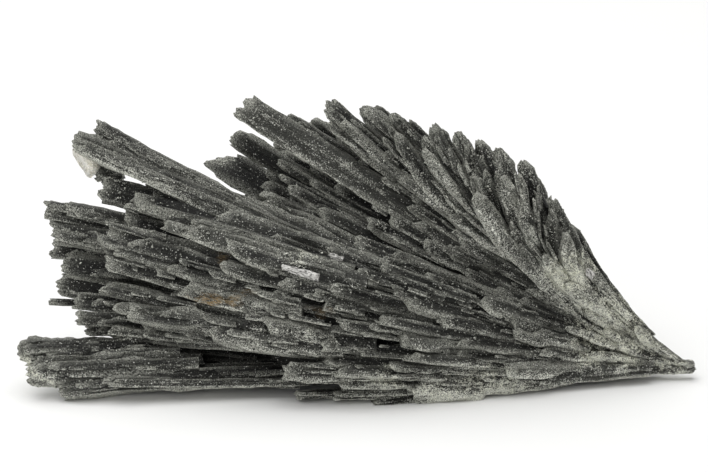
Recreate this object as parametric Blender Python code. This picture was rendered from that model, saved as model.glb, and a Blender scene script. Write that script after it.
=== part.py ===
"""Black kyanite fan: flat dark blades that grew out of one root into a spray, standing on its lower edge.

The fan is drawn upright in the XZ plane with its root at the origin, its blades running towards -X and its
front towards -Y. It is then leaned back, trimmed flat where it touches the table, and set on Z = 0.
A small grain of clear quartz sits under the tip of one long blade, and is a node of its own.
"""

import random
from math import asin, atan, cos, degrees, exp, radians, sin, tan

import bmesh
import bpy
from mathutils import Matrix, Vector

MM = 0.001
LEAN = radians(18)
ROOT_ABOVE_BED = 2.0 * MM
TOUCHING_GAP = 0.44 * MM
MERGE_WIDTH = 0.002 * MM
SEED = 7

# How far the blades reach at each rise above the root's level: degrees, then millimetres.
RIM = (
    (-8, 40), (-4, 60), (-1, 88), (2, 94), (14, 99), (17, 94), (20, 82), (24, 77),
    (30, 77), (36, 68), (41, 58), (46, 49), (50, 38), (52, 33),
)

# How far the faces lean out of the middle plane, in degrees: at the rim, at the crest's rim and at the most.
# Towards the rim each face thins by EDGE_FALL degrees over the outer BROKEN_SHARE of its reach.
EDGE_LEAN = 3
CREST_EDGE_LEAN = 9
FULL_LEAN = 17
EDGE_FALL = 14
BROKEN_SHARE = 0.46

# The front has a valley between the crest and the lower blades, centred on this rise.
VALLEY_RISE = 27
VALLEY_HALF_WIDTH = 10
VALLEY_DEPTH = 0.62

# Above the foot block the front steps back: below this rise its layers stop at this reach.
STEP_BACK_RISE = 3.2
STEP_BACK_REACH = 72

# The blades that make the outline and the main steps of the front.
# name: reach mm, rise deg, curl deg, depth mm, width mm, thickness mm, roll deg, slant, start share
MAIN_BLADES = {
    "foot_block_top": (108.5, 1.4, -3.6, 7.0, 4.4, 3.8, 6, 0.10, 0.76),
    "foot_block_middle": (107.2, -0.1, -2.6, 8.2, 5.0, 4.6, -8, -0.15, 0.74),
    "foot_block_low": (101.8, -1.9, -2.1, 9.0, 3.8, 4.4, 10, 0.10, 0.45),
    "foot_behind": (95.0, 0.6, -1.5, 1.0, 5.6, 3.0, 0, 0.00, 0.40),
    "foot_tongue": (94.0, -1.1, 2.0, 11.0, 1.7, 1.6, 0, 0.00, 0.55),
    "rim_highest": (108.2, 13.8, -2.7, 0.5, 3.2, 2.6, 8, 0.10, 0.30),
    "rim_upper": (105.0, 14.4, -2.5, 2.4, 2.6, 2.0, -6, -0.10, 0.40),
    "rim_second": (106.3, 12.1, -2.0, 1.6, 3.2, 2.4, 10, 0.12, 0.40),
    "rim_third": (106.0, 10.7, -1.8, -0.6, 3.3, 2.8, -12, 0.00, 0.35),
    "rim_fourth": (103.4, 9.3, -1.6, 1.6, 3.2, 2.4, 6, -0.12, 0.45),
    "rim_fifth": (104.2, 7.5, -3.0, 0.0, 3.4, 2.8, -8, 0.10, 0.35),
    "prong": (105.5, 5.8, -4.6, -1.5, 1.2, 1.6, 0, 0.05, 0.40),
    "rim_sixth": (101.0, 6.1, -2.2, 2.0, 3.0, 2.4, 10, 0.00, 0.45),
    "rim_seventh": (100.3, 4.6, -2.6, 2.6, 2.8, 2.4, -6, 0.10, 0.45),
    "rim_lowest": (98.8, 3.6, -2.7, 1.2, 2.6, 2.8, 6, 0.00, 0.40),
    "twin_upper": (104.4, 22.1, 6.4, -0.6, 3.1, 2.6, 12, 0.18, 0.30),
    "twin_lower": (106.6, 20.3, 4.8, 2.8, 3.7, 2.6, -6, 0.16, 0.35),
    "twin_between": (98.5, 21.3, 5.4, -0.8, 3.4, 2.4, 0, 0.00, 0.40),
    "twin_under": (93.5, 18.7, 3.0, -0.6, 4.2, 2.8, 6, -0.30, 0.40),
    "twin_bridge": (102.3, 18.2, 3.4, 1.0, 2.8, 2.4, 0, 0.20, 0.45),
    "broad_dark": (100.2, 16.8, -0.8, -0.8, 4.9, 2.2, 4, 0.05, 0.30),
    "tongue_on_twin": (88.4, 19.8, 7.0, 3.4, 2.3, 1.6, 0, 0.00, 0.50),
    "tongue_on_broad": (89.2, 16.2, 3.8, 2.6, 2.4, 1.8, 4, 0.05, 0.50),
    "tongue_pale": (84.0, 16.0, 1.0, 5.0, 2.5, 1.8, -4, 0.05, 0.50),
    "wedge": (84.2, 23.9, 8.0, -2.6, 5.0, 1.8, 20, -0.70, 0.30),
    "second_blade": (83.5, 26.9, 6.0, -0.6, 3.8, 2.0, -10, -0.10, 0.30),
    "great_blade": (84.4, 30.1, 1.4, 4.4, 4.4, 2.2, 4, 0.22, 0.25),
    "great_blade_back": (77.2, 31.8, 0.4, 1.0, 2.2, 1.8, 10, 0.20, 0.40),
    "dark_tip": (73.6, 33.0, 7.0, -1.6, 2.7, 2.2, -14, 0.10, 0.35),
    "hooked_tip": (73.2, 35.8, 5.6, 3.2, 3.4, 2.2, 10, 0.42, 0.30),
    "crest_first": (68.0, 38.2, 4.2, 0.2, 3.0, 2.4, -8, 0.10, 0.30),
    "crest_second": (66.6, 39.6, 5.4, -2.4, 2.2, 2.4, 8, 0.10, 0.35),
    "crest_third": (63.8, 40.2, 5.4, 1.8, 2.2, 2.2, 10, -0.10, 0.40),
    "crest_fourth": (61.0, 41.2, 7.0, -1.6, 2.2, 2.4, -6, 0.10, 0.35),
    "pale_upright": (57.6, 43.2, 22.0, 3.6, 3.1, 2.0, 10, -0.10, 0.45),
    "crest_fifth": (54.0, 44.6, 16.0, -0.6, 2.5, 2.4, 6, 0.10, 0.40),
    "crest_sixth": (50.8, 46.6, 16.0, 1.0, 2.5, 2.4, -10, 0.00, 0.40),
    "pale_broad": (47.4, 48.2, 24.0, 4.4, 3.2, 2.4, 0, 0.00, 0.45),
    "crest_seventh": (43.4, 50.6, 22.0, 1.0, 3.0, 2.6, 10, 0.00, 0.40),
    "crest_eighth": (39.6, 51.0, 24.0, -2.2, 2.6, 2.6, -8, 0.00, 0.40),
    "crest_ninth": (35.6, 50.0, 18.0, 2.2, 2.4, 2.4, 0, 0.00, 0.35),
    "crest_tenth": (30.4, 49.8, 13.0, -1.0, 2.6, 2.6, 6, 0.00, 0.25),
    "right_edge": (33.0, 45.4, 9.5, 0.0, 3.2, 5.4, 0, 0.10, 0.04),
    "root_nub": (24.0, 5.0, 3.0, 0.0, 6.0, 5.4, 0, 0.00, -0.02),
    "under_first": (64.2, -3.7, 0.6, 10.0, 1.8, 2.4, 6, 0.10, 0.45),
    "under_second": (58.2, -3.9, 3.0, 10.6, 1.9, 2.4, -6, 0.00, 0.50),
    "under_third": (52.0, -5.6, 1.4, 9.6, 1.8, 3.0, 0, 0.00, 0.40),
    "chunk": (45.6, -3.6, -2.0, 9.6, 5.4, 4.2, -6, 0.05, 0.15),
    "silver_flake": (68.4, 14.8, 2.0, 12.4, 2.2, 1.8, -10, 0.05, 0.60),
    "back_foot_long": (92.0, 2.3, -2.0, -12.0, 4.6, 5.0, 8, 0.10, 0.20),
    "back_foot_middle": (70.0, 4.1, -2.0, -16.5, 4.6, 5.0, -8, 0.00, 0.20),
    "back_foot_short": (47.0, 5.2, -2.0, -14.5, 4.2, 5.0, 6, 0.00, 0.20),
}

# Layers of smaller blades, by how far each layer leans out of the fan's plane, in degrees.
LAYERS = (-1, 4, 7, 10, 13, 16, -4.5, -8, -11.5, -15)
LAYER_BLADE_WIDTH = 3.3
LAYER_BLADE_THICKNESS = 2.5
LAYER_BLADE_START = 0.42
LAYER_BLADE_ROLL = 14
MIDDLE_LAYER_GROWTH = 1.5
SHORTEST_LAYER_BLADE = 22
LOWEST_RISE = -4.8
HIGHEST_RISE = 48

# The grain of quartz under the lower twin's tip: where, in the fan's plane and in front of it, and how big.
QUARTZ_REACH, QUARTZ_RISE, QUARTZ_DEPTH = 104.3, 18.9, 1.2
QUARTZ_SIZE = Vector((5.6, 3.2, 3.4)) * MM
QUARTZ_TURN = radians(52)


def rim_reach(rise):
    """The fan's reach at that rise, in millimetres, along the straight runs between the rim's points."""
    if rise <= RIM[0][0]:
        return RIM[0][1]
    for (low, near), (high, far) in zip(RIM, RIM[1:]):
        if rise <= high:
            return near + (far - near) * (rise - low) / (high - low)
    return RIM[-1][1]


def edge_lean(rise):
    """How far the faces lean out at the rim. The crest is thick, and the ends of the long blades are thin."""
    crest = min(max((rise - 30) / 14, 0), 1)
    return EDGE_LEAN + (CREST_EDGE_LEAN - EDGE_LEAN) * crest


def valley_left(rise):
    """The share of the front's depth that the valley leaves at that rise."""
    return 1 - VALLEY_DEPTH * exp(-(((rise - VALLEY_RISE) / VALLEY_HALF_WIDTH) ** 4))


def front_edge_lean(rise):
    return edge_lean(rise) * (0.3 + 0.7 * valley_left(rise))


def layer_reach(rise, lean_out):
    """The reach of a layer that leans out of the fan's plane by so many degrees, above 0 towards the front."""
    if lean_out > 0:
        past_edge = (lean_out - front_edge_lean(rise)) / (EDGE_FALL * valley_left(rise))
    else:
        past_edge = (-lean_out - edge_lean(rise)) / (FULL_LEAN - edge_lean(rise))
    reach = rim_reach(rise) * (1 - BROKEN_SHARE * max(past_edge, 0))
    if lean_out > -2 and rise < STEP_BACK_RISE:
        reach = min(reach, STEP_BACK_REACH)
    return reach


def mesh_object(name, shape):
    """An object made from a closed shape, its faces turned outwards."""
    bmesh.ops.recalc_face_normals(shape, faces=shape.faces)
    if shape.calc_volume(signed=True) < 0:
        bmesh.ops.reverse_faces(shape, faces=shape.faces)
    mesh = bpy.data.meshes.new(name)
    shape.to_mesh(mesh)
    shape.free()
    return bpy.data.objects.new(name, mesh)


def growth_point(reach, rise, curl, depth, share):
    """A point of a blade's middle line, in metres: it leaves the root at rise - curl and ends at rise + curl."""
    leg = reach / (2 * cos(radians(curl)))
    bend_angle = radians(rise - curl)
    bend = Vector((-cos(bend_angle), sin(bend_angle))) * leg
    tip = Vector((-cos(radians(rise)), sin(radians(rise)))) * reach
    flat = bend * (2 * share * (1 - share)) + tip * share**2
    return Vector((flat.x, -depth * share, flat.y)) * MM


def growth_frame(line, roll, share):
    """(point, across, outward) of a blade at a share of its length, with its flat side turned by roll."""
    step = 0.01
    point = growth_point(*line, share)
    along = (growth_point(*line, share + step) - growth_point(*line, share - step)).normalized()
    across = along.cross(Vector((0, -1, 0))).normalized()
    outward = across.cross(along)
    turn = Matrix.Rotation(roll, 3, along)
    return point, turn @ across, turn @ outward


def blade_object(name, sides, cuts, line, width, thickness, roll, slant, start, grow=0.0):
    """A blade as one closed prism along its growth line, narrow at the root and cut across at its tip."""
    shape = bmesh.new()
    bmesh.ops.create_cone(shape, cap_ends=True, segments=sides, radius1=0.5, radius2=0.5, depth=1)
    if sides == 4:
        bmesh.ops.rotate(shape, verts=shape.verts, matrix=Matrix.Rotation(radians(45), 3, "Z"))
        bmesh.ops.scale(shape, verts=shape.verts, vec=(2**0.5, 2**0.5, 1))
    long_edges = [e for e in shape.edges if abs(e.verts[0].co.z - e.verts[1].co.z) > 0.5]
    if cuts:
        bmesh.ops.subdivide_edges(shape, edges=long_edges, cuts=cuts)
    for vertex in shape.verts:
        side, face, along = vertex.co.x, vertex.co.y, vertex.co.z + 0.5
        share = start + (1 - start) * along
        taper = 0.35 + 0.65 * max(share, 0) if share < 0.75 else 0.84 + 0.16 * cos(5.2 * (share - 0.75))
        tip_cut = slant * side * width / line[0] if along > 0.99 else 0
        point, across, outward = growth_frame(line, radians(roll), share + tip_cut)
        vertex.co = (
            point
            + across * side * (width * MM + 2 * grow) * taper
            + outward * face * (thickness * MM + 2 * grow) * taper
        )
    return mesh_object(name, shape)


def main_blade(name, grow=0.0):
    reach, rise, curl, depth, width, thickness, roll, slant, start = MAIN_BLADES[name]
    cuts = 2 if abs(curl) > 3 else 1
    return blade_object(
        name, 6, cuts, (reach + grow / MM, rise, curl, depth),
        width, thickness, roll, slant, start, grow,
    )


def bed_rise(reach, depth):
    """The rise at which a blade of that reach and depth, in millimetres, lies on the bed."""
    level = -ROOT_ABOVE_BED / MM / cos(LEAN) - depth * tan(LEAN)
    return degrees(asin(level / reach))


def layer_blades():
    """The smaller blades, side by side in each layer, each broken off at its own length."""
    rng = random.Random(SEED)
    for lean_out in LAYERS:
        middle = abs(lean_out) < 2
        size = MIDDLE_LAYER_GROWTH if middle else 1
        lowest_reach = layer_reach(0, lean_out)
        half_blade = degrees(atan(LAYER_BLADE_WIDTH * size / 2 / lowest_reach))
        on_bed = bed_rise(lowest_reach, lowest_reach * tan(radians(lean_out))) + half_blade
        rise = max(on_bed, LOWEST_RISE)
        while rise < HIGHEST_RISE:
            reach = layer_reach(rise, lean_out) * rng.uniform(0.94 if middle else 0.84, 1.0)
            if reach < SHORTEST_LAYER_BLADE:
                rise += 1
                continue
            width = LAYER_BLADE_WIDTH * rng.uniform(0.75, 1.2) * size
            curl = 3 + 9 * max(rise - 34, 0) / 16 + rng.uniform(-1, 1)
            line = (reach, rise, curl, reach * tan(radians(lean_out)))
            roll = rng.uniform(-LAYER_BLADE_ROLL, LAYER_BLADE_ROLL)
            thickness = LAYER_BLADE_THICKNESS * rng.uniform(0.8, 1.2) * size
            slant = rng.uniform(-0.3, 0.5)
            yield blade_object(
                f"layer_{lean_out}_{rise:.1f}", 4, 0 if curl < 5 else 1,
                line, width, thickness, roll, slant, LAYER_BLADE_START,
            )
            rise += degrees(atan(width / reach)) * 0.98


def heart():
    """The packed middle of the spray, where the blades leave no gaps: a box bent to the fan's shape."""
    shape = bmesh.new()
    bmesh.ops.create_cube(shape, size=1)
    bmesh.ops.subdivide_edges(shape, edges=shape.edges, cuts=5, use_grid_fill=True)
    for vertex in shape.verts:
        along, side, face = vertex.co.x + 0.5, vertex.co.z + 0.5, vertex.co.y * 2
        rise = -0.5 + (39 + 8 * along) * side
        reach = rim_reach(rise) * (0.03 + 0.72 * along)
        half_depth = min(reach * tan(radians(15)), 8.6 - 5.0 * max(along - 0.55, 0) / 0.45)
        if face < 0:
            past_edge = (1 - reach / rim_reach(rise)) / BROKEN_SHARE
            front_lean = front_edge_lean(rise) + EDGE_FALL * valley_left(rise) * past_edge
            half_depth = min(half_depth, 0.9 * reach * tan(radians(front_lean)))
        rounding = 1 - 0.45 * abs(2 * side - 1) ** 3
        curl = 2 + 6 * side
        point = growth_point(reach, rise, curl, 0, 1)
        vertex.co = point + Vector((0, face * half_depth * rounding * MM, 0))
    return mesh_object("kyanite_fan", shape)


def cut_or_join(target, operation, helper=None, helpers=None):
    """Applies one Boolean to the target's mesh."""
    modifier = target.modifiers.new(operation.lower(), "BOOLEAN")
    modifier.operation = operation
    if helpers:
        modifier.operand_type = "COLLECTION"
        modifier.collection = helpers
    else:
        modifier.object = helper
    modifier.use_self = operation == "UNION"
    graph = bpy.context.evaluated_depsgraph_get()
    made = bpy.data.meshes.new_from_object(target.evaluated_get(graph))
    target.modifiers.clear()
    target.data = made


def keep_outer_skin(target):
    """Fills the small closed hollows between blades, which a union leaves as loose inner shells."""
    shape = bmesh.new()
    shape.from_mesh(target.data)
    bmesh.ops.remove_doubles(shape, verts=shape.verts, dist=MERGE_WIDTH)
    shells = []
    unseen = set(shape.faces)
    while unseen:
        shell, front = set(), [unseen.pop()]
        while front:
            face = front.pop()
            shell.add(face)
            beside = {other for edge in face.edges for other in edge.link_faces} & unseen
            unseen -= beside
            front.extend(beside)
        shells.append(shell)
    outer = max(shells, key=len)
    bmesh.ops.delete(shape, geom=[f for f in shape.faces if f not in outer], context="FACES")
    shape.to_mesh(target.data)
    shape.free()


def box_object(name, size, centre):
    shape = bmesh.new()
    bmesh.ops.create_cube(shape, size=1)
    bmesh.ops.scale(shape, verts=shape.verts, vec=size)
    bmesh.ops.translate(shape, verts=shape.verts, vec=centre)
    return mesh_object(name, shape)


def quartz_grain():
    """A blunt grain of clear quartz, flat-faced, tucked under the lower twin blade's tip."""
    shape = bmesh.new()
    bmesh.ops.create_cone(shape, cap_ends=True, segments=6, radius1=0.5, radius2=0.36, depth=1)
    rims = [e for e in shape.edges if abs(e.verts[0].co.z - e.verts[1].co.z) < 0.1]
    bmesh.ops.bevel(shape, geom=rims, offset=0.12, segments=1, affect="EDGES", clamp_overlap=True)
    turn = Matrix.Rotation(QUARTZ_TURN, 4, "Y") @ Matrix.Rotation(radians(-90), 4, "Y")
    size = Matrix.Diagonal((QUARTZ_SIZE.y, QUARTZ_SIZE.z, QUARTZ_SIZE.x, 1))
    place = Matrix.Translation(growth_point(QUARTZ_REACH, QUARTZ_RISE, 0, QUARTZ_DEPTH, 1))
    bmesh.ops.transform(shape, verts=shape.verts, matrix=place @ turn @ size)
    return mesh_object("quartz_grain", shape)


def finish(name, colour, roughness):
    material = bpy.data.materials.new(name)
    material.use_nodes = True
    shader = material.node_tree.nodes["Principled BSDF"]
    shader.inputs["Base Color"].default_value = (*colour, 1)
    shader.inputs["Roughness"].default_value = roughness
    return material


def build():
    for old in list(bpy.data.objects):
        bpy.data.objects.remove(old)
    parts = bpy.data.collections.new("black kyanite fan")
    helpers = bpy.data.collections.new("blades and cutters")
    bpy.context.scene.collection.children.link(parts)
    bpy.context.scene.collection.children.link(helpers)
    helpers.hide_render = True

    fan = heart()
    parts.objects.link(fan)
    for name in MAIN_BLADES:
        helpers.objects.link(main_blade(name))
    for blade in layer_blades():
        helpers.objects.link(blade)
    for helper in helpers.objects:
        helper.hide_render = True
        helper.display_type = "WIRE"
    cut_or_join(fan, "UNION", helpers=helpers)

    lean_back = Matrix.Rotation(-LEAN, 4, "X")
    fan.data.transform(lean_back)
    bed_size = (0.3, 0.2, 0.05)
    bed = box_object("bed", bed_size, (-0.05, 0, -ROOT_ABOVE_BED - bed_size[2] / 2))
    helpers.objects.link(bed)
    bed.hide_render = True
    cut_or_join(fan, "DIFFERENCE", helper=bed)
    keep_outer_skin(fan)

    quartz = quartz_grain()
    parts.objects.link(quartz)
    for name in ("twin_lower", "twin_upper", "twin_bridge", "broad_dark"):
        neighbour = main_blade(name, grow=TOUCHING_GAP)
        neighbour.name = f"{name}_clearance"
        helpers.objects.link(neighbour)
        neighbour.hide_render = True
        cut_or_join(quartz, "DIFFERENCE", helper=neighbour)
    quartz.data.transform(lean_back)

    corners = [v.co for v in fan.data.vertices] + [v.co for v in quartz.data.vertices]
    middle_x = (min(c.x for c in corners) + max(c.x for c in corners)) / 2
    middle_y = (min(c.y for c in corners) + max(c.y for c in corners)) / 2
    lowest = min(c.z for c in corners)
    to_origin = Matrix.Translation((-middle_x, -middle_y, -lowest))
    fan.data.transform(to_origin)
    quartz.data.transform(to_origin)

    fan.data.materials.clear()
    fan.data.materials.append(finish("black kyanite", (0.075, 0.076, 0.068), 0.55))
    quartz.data.materials.clear()
    quartz.data.materials.append(finish("clear quartz", (0.80, 0.78, 0.70), 0.2))


build()
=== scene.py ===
from math import cos, pi, radians, sin, tan

import bpy
import numpy as np
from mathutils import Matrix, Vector


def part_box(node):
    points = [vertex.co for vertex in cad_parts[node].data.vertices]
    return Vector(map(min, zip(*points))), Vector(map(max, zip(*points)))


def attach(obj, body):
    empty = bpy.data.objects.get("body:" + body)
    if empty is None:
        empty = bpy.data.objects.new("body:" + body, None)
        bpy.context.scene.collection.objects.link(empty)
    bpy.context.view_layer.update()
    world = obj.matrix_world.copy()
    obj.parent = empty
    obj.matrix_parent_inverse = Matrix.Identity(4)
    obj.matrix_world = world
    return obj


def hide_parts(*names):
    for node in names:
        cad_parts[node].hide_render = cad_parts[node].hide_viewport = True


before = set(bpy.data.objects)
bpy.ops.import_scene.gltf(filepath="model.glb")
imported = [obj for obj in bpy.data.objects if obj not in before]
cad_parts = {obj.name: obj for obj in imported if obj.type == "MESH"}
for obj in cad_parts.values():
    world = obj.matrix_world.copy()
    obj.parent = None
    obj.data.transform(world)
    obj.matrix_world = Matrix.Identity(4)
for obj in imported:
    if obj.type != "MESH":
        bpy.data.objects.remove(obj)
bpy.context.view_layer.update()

# ------------------------------------------------------------------------------
# The long blades. They are the fan's main crystals: flat laths of black kyanite, ridged along their length
# and torn across at the tip, which all grew out of one root and bend a little as they spread.
# ------------------------------------------------------------------------------
MM = 0.001
LEAN = radians(18)
fan_low, fan_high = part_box("kyanite_fan")
FROM_RIGHT, FROM_FRONT, ABOVE_TABLE = 0.51 * MM, 15.35 * MM, 2.0 * MM
ROOT = np.array([fan_high.x - FROM_RIGHT, fan_low.y + FROM_FRONT, fan_low.z + ABOVE_TABLE])
ALONG_THE_TABLE = np.array([1.0, 0.0, 0.0])
UP_THE_FAN = np.array([0.0, sin(LEAN), cos(LEAN)])
OUT_OF_THE_FAN = np.array([0.0, -cos(LEAN), sin(LEAN)])
BED_CLEARANCE = 0.02 * MM

# name: reach mm, rise deg, curl deg, depth mm, width mm, thickness mm, roll deg, slant, start share
LONG_BLADES = {
    "foot_block_top": (108.5, 1.4, -3.6, 7.0, 4.4, 3.8, 6, 0.10, 0.76),
    "foot_block_middle": (107.2, -0.1, -2.6, 8.2, 5.0, 4.6, -8, -0.15, 0.74),
    "foot_block_low": (101.8, -1.9, -4.8, 9.0, 3.5, 4.4, 10, 0.10, 0.45),
    "foot_behind": (95.0, 0.6, -1.5, 1.0, 5.6, 3.0, 0, 0.00, 0.40),
    "foot_tongue": (94.0, -1.1, 2.0, 11.0, 1.7, 1.6, 0, 0.00, 0.55),
    "rim_highest": (108.2, 13.8, -2.7, 0.5, 3.9, 2.6, 2, 0.10, 0.30),
    "rim_upper": (105.0, 14.4, -2.5, 2.4, 2.6, 2.0, -6, -0.10, 0.40),
    "rim_second": (106.3, 12.1, -2.0, 1.6, 3.8, 2.4, 4, 0.12, 0.40),
    "rim_third": (106.0, 10.7, -1.8, -0.6, 3.8, 2.8, -6, 0.00, 0.35),
    "rim_fourth": (103.4, 9.3, -1.6, 1.6, 3.8, 2.4, 6, -0.12, 0.45),
    "rim_fifth": (104.2, 7.5, -3.0, 0.0, 4.0, 2.8, -8, 0.10, 0.35),
    "prong": (105.5, 5.8, -4.6, -1.5, 1.2, 1.6, 0, 0.05, 0.40),
    "rim_sixth": (101.0, 6.1, -2.2, 2.0, 3.0, 2.4, 10, 0.00, 0.45),
    "rim_seventh": (100.3, 4.6, -2.6, 2.6, 2.8, 2.4, -6, 0.10, 0.45),
    "rim_lowest": (98.8, 3.6, -2.7, 1.2, 2.6, 2.8, 6, 0.00, 0.40),
    "twin_upper": (104.4, 22.1, 9.6, 0.6, 3.3, 2.6, 0, 0.10, 0.30),
    "twin_lower": (106.6, 20.3, 4.8, 2.8, 3.7, 2.6, -6, 0.16, 0.35),
    "twin_between": (98.5, 20.8, 7.0, -0.8, 3.2, 2.4, 0, 0.00, 0.40),
    "twin_under": (93.5, 18.7, 3.0, -0.6, 4.2, 2.8, 6, -0.30, 0.40),
    "twin_bridge": (102.3, 18.3, 3.4, 1.4, 2.8, 2.4, 0, 0.20, 0.955),
    "broad_dark": (100.2, 17.2, -0.2, 0.6, 5.2, 2.2, 4, 0.05, 0.30),
    "tongue_on_twin": (88.4, 19.8, 7.0, 3.4, 2.3, 1.6, 0, 0.00, 0.50),
    "tongue_on_broad": (89.2, 16.2, 3.8, 2.6, 2.4, 1.8, 4, 0.05, 0.50),
    "tongue_pale": (84.0, 16.0, 1.0, 5.0, 2.5, 1.8, -4, 0.05, 0.50),
    "wedge": (84.2, 23.9, 8.0, -2.6, 5.0, 1.8, 20, -0.70, 0.30),
    "second_blade": (83.5, 26.9, 6.0, -0.6, 3.3, 2.0, -10, -0.10, 0.30),
    "great_blade": (84.4, 30.1, 1.4, 4.4, 5.2, 2.2, 4, -0.20, 0.25),
    "great_blade_back": (77.2, 31.8, 0.4, 1.0, 2.2, 1.8, 10, 0.20, 0.40),
    "dark_tip": (73.6, 33.0, 7.0, -1.6, 2.7, 2.2, -14, 0.10, 0.35),
    "hooked_tip": (73.2, 35.8, 5.6, 3.2, 3.4, 2.2, 10, 0.42, 0.30),
    "crest_first": (68.0, 38.2, 4.2, 0.2, 3.0, 2.4, -8, 0.10, 0.30),
    "crest_second": (66.6, 39.6, 5.4, -2.4, 2.2, 2.4, 8, 0.10, 0.35),
    "crest_third": (63.8, 40.2, 5.4, 1.8, 2.2, 2.2, 10, -0.10, 0.40),
    "crest_fourth": (61.0, 41.2, 7.0, -1.6, 2.2, 2.4, -6, 0.10, 0.35),
    "pale_upright": (57.6, 43.2, 22.0, 3.6, 3.1, 2.0, 10, -0.10, 0.45),
    "crest_fifth": (54.0, 44.6, 16.0, -0.6, 2.5, 2.4, 6, 0.10, 0.40),
    "crest_sixth": (50.8, 46.6, 16.0, 1.0, 2.5, 2.4, -10, 0.00, 0.40),
    "pale_broad": (47.4, 48.2, 24.0, 4.4, 3.2, 2.4, 0, 0.00, 0.45),
    "crest_seventh": (43.4, 50.6, 22.0, 1.0, 3.0, 2.6, 10, 0.00, 0.40),
    "crest_eighth": (39.6, 51.0, 24.0, -2.2, 2.6, 2.6, -8, 0.00, 0.40),
    "crest_ninth": (35.6, 50.0, 18.0, 2.2, 2.4, 2.4, 0, 0.00, 0.35),
    "crest_tenth": (30.4, 49.8, 13.0, -1.0, 2.6, 2.6, 6, 0.00, 0.25),
    "right_edge": (33.0, 45.4, 12.5, 0.0, 3.0, 5.4, 0, 0.10, 0.04),
    "root_nub": (24.0, 5.0, 3.0, 0.0, 6.0, 5.4, 0, 0.00, -0.02),
    "under_first": (64.2, -3.7, 0.6, 10.0, 1.8, 2.4, 6, 0.10, 0.45),
    "under_second": (58.2, -3.9, 3.0, 10.6, 1.9, 2.4, -6, 0.00, 0.50),
    "under_third": (52.0, -5.6, 1.4, 9.6, 1.8, 3.0, 0, 0.00, 0.40),
    "chunk": (45.6, -3.6, -2.0, 9.6, 5.4, 4.2, -6, 0.05, 0.15),
    "back_foot_long": (92.0, 2.3, -2.0, -12.0, 4.6, 5.0, 8, 0.10, 0.20),
    "back_foot_middle": (70.0, 4.1, -2.0, -16.5, 4.6, 5.0, -8, 0.00, 0.20),
    "back_foot_short": (47.0, 5.2, -2.0, -14.5, 4.2, 5.0, 6, 0.00, 0.20),
}


def stretched_noise(name, size, stretch, offset, contrast):
    """A cloudy noise, and the guide that stretches it: size in mm, stretch along the lath."""
    noise = bpy.data.textures.new(name, "CLOUDS")
    noise.noise_scale = 1.0
    noise.noise_depth = 2
    noise.contrast = contrast
    guide = bpy.data.objects.new(f"{name}_guide", None)
    bpy.context.scene.collection.objects.link(guide)
    guide.scale = [size * s for s in stretch]
    guide.location = offset
    return noise, guide


def work(piece, name, direction, strength, size, stretch, offset, group="", contrast=1.0):
    """Pushes the piece's surface in and out by a noise, and applies it."""
    noise, guide = stretched_noise(name, size, stretch, offset, contrast)
    push = piece.modifiers.new(name, "DISPLACE")
    push.texture = noise
    push.texture_coords = "OBJECT"
    push.texture_coords_object = guide
    push.direction = direction
    push.mid_level = 0.5
    push.strength = strength
    push.vertex_group = group
    bpy.context.view_layer.update()
    bpy.ops.object.modifier_apply(modifier=name)
    bpy.data.objects.remove(guide)
    bpy.data.textures.remove(noise)


TORN_SHARE = 0.22
NOISE_STEP = (37.3, 11.7, 5.1)


def worked_lath(name, length, width, thickness, cells_along, cells_across, ridge, tear, number):
    """One lath, its far end at x = 0 and its near end at -x: a strip given thickness, ridged and torn."""
    bpy.ops.object.select_all(action="DESELECT")
    bpy.ops.mesh.primitive_grid_add(x_subdivisions=cells_along, y_subdivisions=cells_across, size=1)
    lath = bpy.context.object
    lath.name = name
    bpy.ops.object.mode_set(mode="EDIT")
    bpy.ops.mesh.select_all(action="SELECT")
    bpy.ops.transform.translate(value=(-0.5, 0, 0))
    bpy.ops.transform.resize(value=(length, width, 1), center_override=(0, 0, 0))
    bpy.ops.object.mode_set(mode="OBJECT")

    wall = lath.modifiers.new("wall", "SOLIDIFY")
    wall.thickness = thickness
    wall.offset = 0
    bpy.ops.object.modifier_apply(modifier="wall")
    far_end = lath.vertex_groups.new(name="far_end")
    for vertex in lath.data.vertices:
        from_tip = -vertex.co.x / length
        far_end.add([vertex.index], max(0.0, 1 - from_tip / TORN_SHARE) ** 1.5, "REPLACE")
    rest = np.array([vertex.co.x for vertex in lath.data.vertices])
    place = [number * step for step in NOISE_STEP]
    work(lath, "steps", "NORMAL", ridge, width * 0.3, (16, 1, 1.5), place, contrast=4.0)
    work(lath, "sides", "Y", width * 0.3, width * 1.2, (2.2, 1, 1), place)
    work(lath, "ridges", "Z", ridge * 0.7, width * 0.1, (12, 1, 2), place)
    work(lath, "lumps", "NORMAL", ridge * 0.9, width * 0.22, (1.8, 1, 1), place)
    work(lath, "tears", "X", tear, width * 0.34, (30, 1, 1.5), place, "far_end", contrast=1.4)
    work(lath, "chips", "X", tear * 0.6, width * 0.13, (30, 1, 0.7), place, "far_end", contrast=1.6)
    return lath, rest


def corners_of(mesh):
    flat = np.zeros(len(mesh.vertices) * 3)
    mesh.vertices.foreach_get("co", flat)
    return flat.reshape(-1, 3)


def lath_shapes(laths, length, width, thickness):
    """The corners of several laths of one build, as shares of their size, and the faces they have in common.

    The fourth column is how far the far end's tears have moved each corner, as a share of the width.
    """
    corners = []
    for lath, rest in laths:
        worked = corners_of(lath.data)
        shares = worked / (length, width, thickness)
        shares[:, 0] = rest / length
        corners.append(np.column_stack([shares, (worked[:, 0] - rest) / width]))
    faces = np.array([tuple(face.vertices) for face in laths[0][0].data.polygons])
    for lath, rest in laths:
        bpy.data.meshes.remove(lath.data)
    return np.stack(corners), faces


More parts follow.
